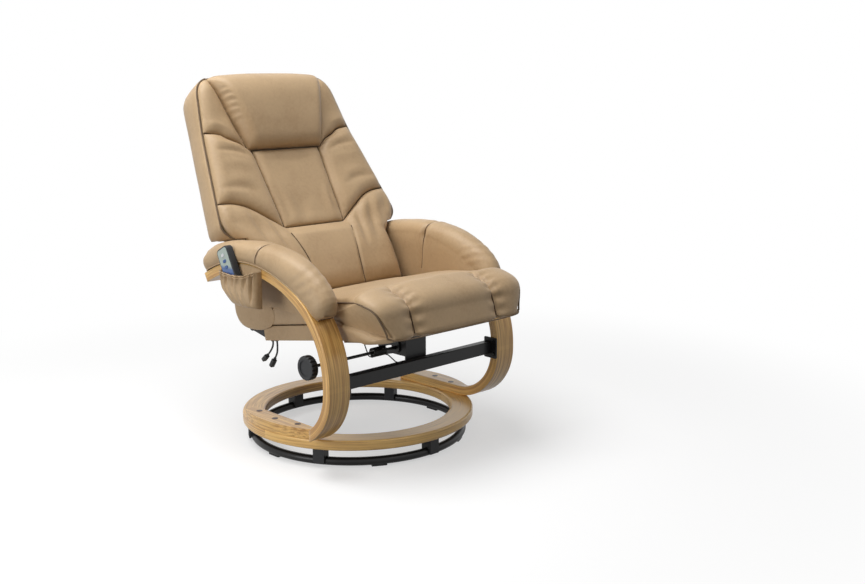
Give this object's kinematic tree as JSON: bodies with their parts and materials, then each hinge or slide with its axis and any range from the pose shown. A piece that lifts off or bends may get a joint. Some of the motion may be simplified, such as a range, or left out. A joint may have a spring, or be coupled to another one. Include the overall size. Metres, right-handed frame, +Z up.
{
  "type": "swivel recliner armchair",
  "caption": "Bentwood swivel recliner armchair with a padded leather seat and back, ring base, side pocket and massage handset.",
  "frame": {"origin": "on the floor at the swivel axis, in the middle of the ring base", "axes": "+Z up, the chair faces -Y, the sitter's right arm is towards -X"},
  "size_m": [0.7034, 0.8929, 1.0002],
  "materials": {
    "tan_leather": "satin",
    "brown_trim": "satin",
    "bentwood": "satin",
    "black_steel": "satin",
    "zinc_steel": "satin",
    "dark_plastic": "matt",
    "bolt_cap_plastic": "matt",
    "webbing": "matt",
    "heater_cloth": "matt",
    "handset_grey": "satin",
    "button_blue": "satin",
    "lead_sheath": "matt",
    "cover_cloth": "matt",
    "plywood": "matt"
  },
  "bodies": {
    "floor_frame": {"floor_ring": "black_steel", "floor_pads": "dark_plastic"},
    "base": {"base_ring": "bentwood", "glide_blocks": "dark_plastic", "glide_screws": "zinc_steel", "right_bentwood_leg": "bentwood", "left_bentwood_leg": "bentwood", "leg_bolts": "zinc_steel", "bolt_caps": "bolt_cap_plastic", "crossbar": "black_steel", "crossbar_screws": "zinc_steel", "centre_bracket": "black_steel", "return_spring": "zinc_steel", "right_arm_pad": "tan_leather", "left_arm_pad": "tan_leather", "arm_boards": "plywood", "arm_screws": "zinc_steel", "right_arm_flap": "tan_leather", "left_arm_flap": "tan_leather", "pivot_bolts": "zinc_steel", "pocket_back": "tan_leather", "pocket_front": "tan_leather", "pocket_elastic": "brown_trim"},
    "back": {"back_frame": "black_steel", "back_webbing": "webbing", "back_shell": "tan_leather", "back_piping": "brown_trim", "head_pillow": "tan_leather", "back_centre_pad": "tan_leather", "lumbar_pad": "tan_leather", "right_middle_wing": "tan_leather", "left_middle_wing": "tan_leather", "right_upper_wing": "tan_leather", "left_upper_wing": "tan_leather", "back_motors": "dark_plastic", "heating_pad": "heater_cloth", "back_brackets": "black_steel", "bracket_screws": "zinc_steel"},
    "seat": {"seat_frame": "plywood", "seat_webbing": "webbing", "seat_cushion": "tan_leather", "seat_piping": "brown_trim", "seat_skirt": "tan_leather", "seat_bottom_cover": "cover_cloth", "seat_plate": "black_steel", "seat_hinge_arms": "black_steel", "hinge_pins": "zinc_steel", "seat_motor": "dark_plastic", "control_box": "dark_plastic", "rear_lead": "lead_sheath", "front_lead": "lead_sheath", "lead_connectors": "dark_plastic", "lead_grommets": "lead_sheath"},
    "knob": {"lock_knob": "dark_plastic", "lock_rod": "zinc_steel"},
    "handset": {"handset_case": "dark_plastic", "handset_faceplate": "handset_grey"},
    "power_key": {"power_button": "button_blue"},
    "program_key": {"program_button": "button_blue"},
    "heat_key": {"heat_button": "button_blue"}
  },
  "joints": [
    {"name": "swivel", "type": "hinge", "parent": "floor_frame", "child": "base", "pos_m": [0, 0, 0], "axis": [0, 0, 1], "continuous": true},
    {"name": "recline", "type": "hinge", "parent": "base", "child": "back", "pos_m": [0, 0.213, 0.46], "axis": [-1, 0, 0], "range_deg": [0, 22]},
    {"name": "seat_hinge", "type": "hinge", "parent": "back", "child": "seat", "pos_m": [0, 0.15, 0.318], "axis": [1, 0, 0], "range_deg": [0, 26.3]},
    {"name": "knob_turn", "type": "hinge", "parent": "base", "child": "knob", "pos_m": [-0.327, -0.2, 0.284], "axis": [-1, 0, 0], "continuous": true},
    {"name": "handset_lift", "type": "slide", "parent": "base", "child": "handset", "axis": [0, 0.454, 0.891], "range_m": [0, 0.085]},
    {"name": "power_press", "type": "slide", "parent": "handset", "child": "power_key", "axis": [1, 0, 0], "range_m": [0, 0.001], "stiffness_N_per_m": 400},
    {"name": "program_press", "type": "slide", "parent": "handset", "child": "program_key", "axis": [1, 0, 0], "range_m": [0, 0.001], "stiffness_N_per_m": 400},
    {"name": "heat_press", "type": "slide", "parent": "handset", "child": "heat_key", "axis": [1, 0, 0], "range_m": [0, 0.001], "stiffness_N_per_m": 400}
  ],
  "couplings": [
    {"joint": "seat_hinge", "follows": "recline", "ratio": 1.19}
  ]
}
